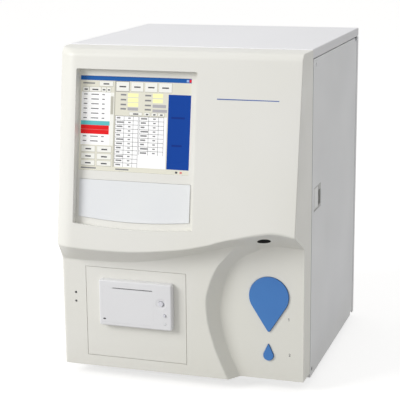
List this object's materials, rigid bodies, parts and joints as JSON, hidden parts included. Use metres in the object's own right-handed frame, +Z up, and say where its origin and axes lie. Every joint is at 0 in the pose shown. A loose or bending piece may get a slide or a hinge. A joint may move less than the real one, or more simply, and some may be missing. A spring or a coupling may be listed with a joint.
{
  "type": "hematology analyzer",
  "caption": "Benchtop blood cell analyzer with a slanted display fascia, panel printer, drop-shaped push plates, a sampling bay with a lowering probe and a hinged service door.",
  "frame": {"origin": "under the middle of the bounding box, on the surface the feet stand on", "axes": "+X to the right seen from the front, +Y to the back, +Z up"},
  "size_m": [0.34, 0.4129, 0.458],
  "materials": {
    "case_paint": "fine matt powder coat, cool light grey",
    "cover_paint": "fine matt powder coat, near white",
    "bezel_plastic": "moulded ivory, fine spark texture",
    "printer_plastic": "moulded cool white",
    "trim_plastic": "light cool grey",
    "drop_plastic": "satin blue",
    "plated_steel": "zinc plated sheet",
    "bright_steel": "ground and polished",
    "supply_case": "plain",
    "black_plastic": "moulded black",
    "motor_black": "black paint",
    "foot_rubber": "matt",
    "display": "lit display behind matt glass",
    "clear_plastic": "clear moulding",
    "board": "green solder resist",
    "paper": "thermal paper"
  },
  "bodies": {
    "analyzer_body": {"left_side_panel": "case_paint", "rear_panel": "case_paint", "top_cover": "cover_paint", "front_bezel": "bezel_plastic", "screen_frame": "bezel_plastic", "printer_panel": "bezel_plastic", "printer_housing": "printer_plastic", "screen_trim": "trim_plastic", "base_chassis": "plated_steel", "front_frame": "plated_steel", "centre_divider": "plated_steel", "probe_frame": "plated_steel", "bath_shelf": "plated_steel", "syringe_frame": "plated_steel", "thermal_head": "plated_steel", "door_pivot_lower": "plated_steel", "door_pivot_upper": "plated_steel", "guide_rod_left": "bright_steel", "guide_rod_right": "bright_steel", "fan_guard": "bright_steel", "power_supply": "supply_case", "switch_board": "black_plastic", "wash_bush": "black_plastic", "valve_bank": "black_plastic", "fan_frame": "black_plastic", "reagent_ports": "black_plastic", "power_inlet": "black_plastic", "status_lamps": "black_plastic", "probe_motor": "motor_black", "pump": "motor_black", "foot_front_left": "foot_rubber", "foot_front_right": "foot_rubber", "foot_rear_left": "foot_rubber", "foot_rear_right": "foot_rubber", "lcd_panel": "display", "counting_bath_front": "clear_plastic", "counting_bath_rear": "clear_plastic", "syringe_barrel": "clear_plastic", "waste_chamber": "clear_plastic", "drain_tube_front": "clear_plastic", "drain_tube_rear": "clear_plastic", "printer_lamp": "clear_plastic", "main_board": "board"},
    "service_door": {"service_door": "case_paint", "latch_cup": "trim_plastic", "door_screw": "bright_steel"},
    "latch_paddle": {"latch_paddle": "trim_plastic"},
    "printer_cover": {"printer_cover": "printer_plastic"},
    "platen_roller": {"platen_roller": "foot_rubber"},
    "paper_roll": {"paper_roll": "paper"},
    "release_button": {"release_button": "printer_plastic"},
    "feed_key": {"feed_key": "printer_plastic"},
    "start_plate": {"start_plate": "drop_plastic"},
    "dilute_plate": {"dilute_plate": "drop_plastic"},
    "probe_carriage": {"probe_carriage": "black_plastic", "sample_probe": "bright_steel"},
    "lead_screw": {"lead_screw": "bright_steel"},
    "syringe_plunger": {"syringe_plunger": "black_plastic"},
    "fan_rotor": {"fan_rotor": "black_plastic"},
    "rocker_switch": {"rocker_switch": "black_plastic"}
  },
  "joints": [
    {"name": "service_door_hinge", "type": "hinge", "parent": "analyzer_body", "child": "service_door", "pos_m": [0.1665, 0.1791, 0.208], "axis": [0, 0, 1], "range_deg": [0, 90]},
    {"name": "latch_paddle_hinge", "type": "hinge", "parent": "service_door", "child": "latch_paddle", "pos_m": [0.1687, -0.1, 0.2555], "axis": [0, 0, -1], "range_deg": [0, 35], "stiffness_Nm_per_rad": 0.02},
    {"name": "printer_cover_hinge", "type": "hinge", "parent": "analyzer_body", "child": "printer_cover", "pos_m": [-0.0689, -0.1801, 0.0875], "axis": [1, 0, 0], "range_deg": [0, 80]},
    {"name": "platen_spin", "type": "hinge", "parent": "printer_cover", "child": "platen_roller", "pos_m": [-0.0689, -0.1762, 0.1317], "axis": [1, 0, 0], "continuous": true},
    {"name": "paper_roll_spin", "type": "hinge", "parent": "analyzer_body", "child": "paper_roll", "pos_m": [-0.0689, -0.1487, 0.1023], "axis": [1, 0, 0], "continuous": true},
    {"name": "release_button_push", "type": "slide", "parent": "analyzer_body", "child": "release_button", "axis": [0, 1, 0], "range_m": [0, 0.001], "stiffness_N_per_m": 400},
    {"name": "feed_key_push", "type": "slide", "parent": "analyzer_body", "child": "feed_key", "axis": [0, 1, 0], "range_m": [0, 0.001], "stiffness_N_per_m": 300},
    {"name": "start_plate_push", "type": "slide", "parent": "analyzer_body", "child": "start_plate", "axis": [0, 1, 0], "range_m": [0, 0.0018], "stiffness_N_per_m": 600},
    {"name": "dilute_plate_push", "type": "slide", "parent": "analyzer_body", "child": "dilute_plate", "axis": [0, 1, 0], "range_m": [0, 0.0018], "stiffness_N_per_m": 500},
    {"name": "probe_lift", "type": "slide", "parent": "analyzer_body", "child": "probe_carriage", "axis": [0, 0, -1], "range_m": [0, 0.07]},
    {"name": "lead_screw_spin", "type": "hinge", "parent": "analyzer_body", "child": "lead_screw", "pos_m": [0.121, -0.1431, 0.308], "axis": [0, 0, 1], "range_deg": [-10, 3200]},
    {"name": "plunger_stroke", "type": "slide", "parent": "analyzer_body", "child": "syringe_plunger", "axis": [0, 0, -1], "range_m": [0, 0.045]},
    {"name": "fan_spin", "type": "hinge", "parent": "analyzer_body", "child": "fan_rotor", "pos_m": [-0.1, 0.1779, 0.353], "axis": [0, 1, 0], "continuous": true},
    {"name": "rocker_tilt", "type": "hinge", "parent": "analyzer_body", "child": "rocker_switch", "pos_m": [-0.1175, 0.1912, 0.113], "axis": [1, 0, 0], "range_deg": [-8, 8]}
  ],
  "couplings": [
    {"joint": "lead_screw_spin", "follows": "probe_lift", "rad_per_m": 785.4}
  ]
}
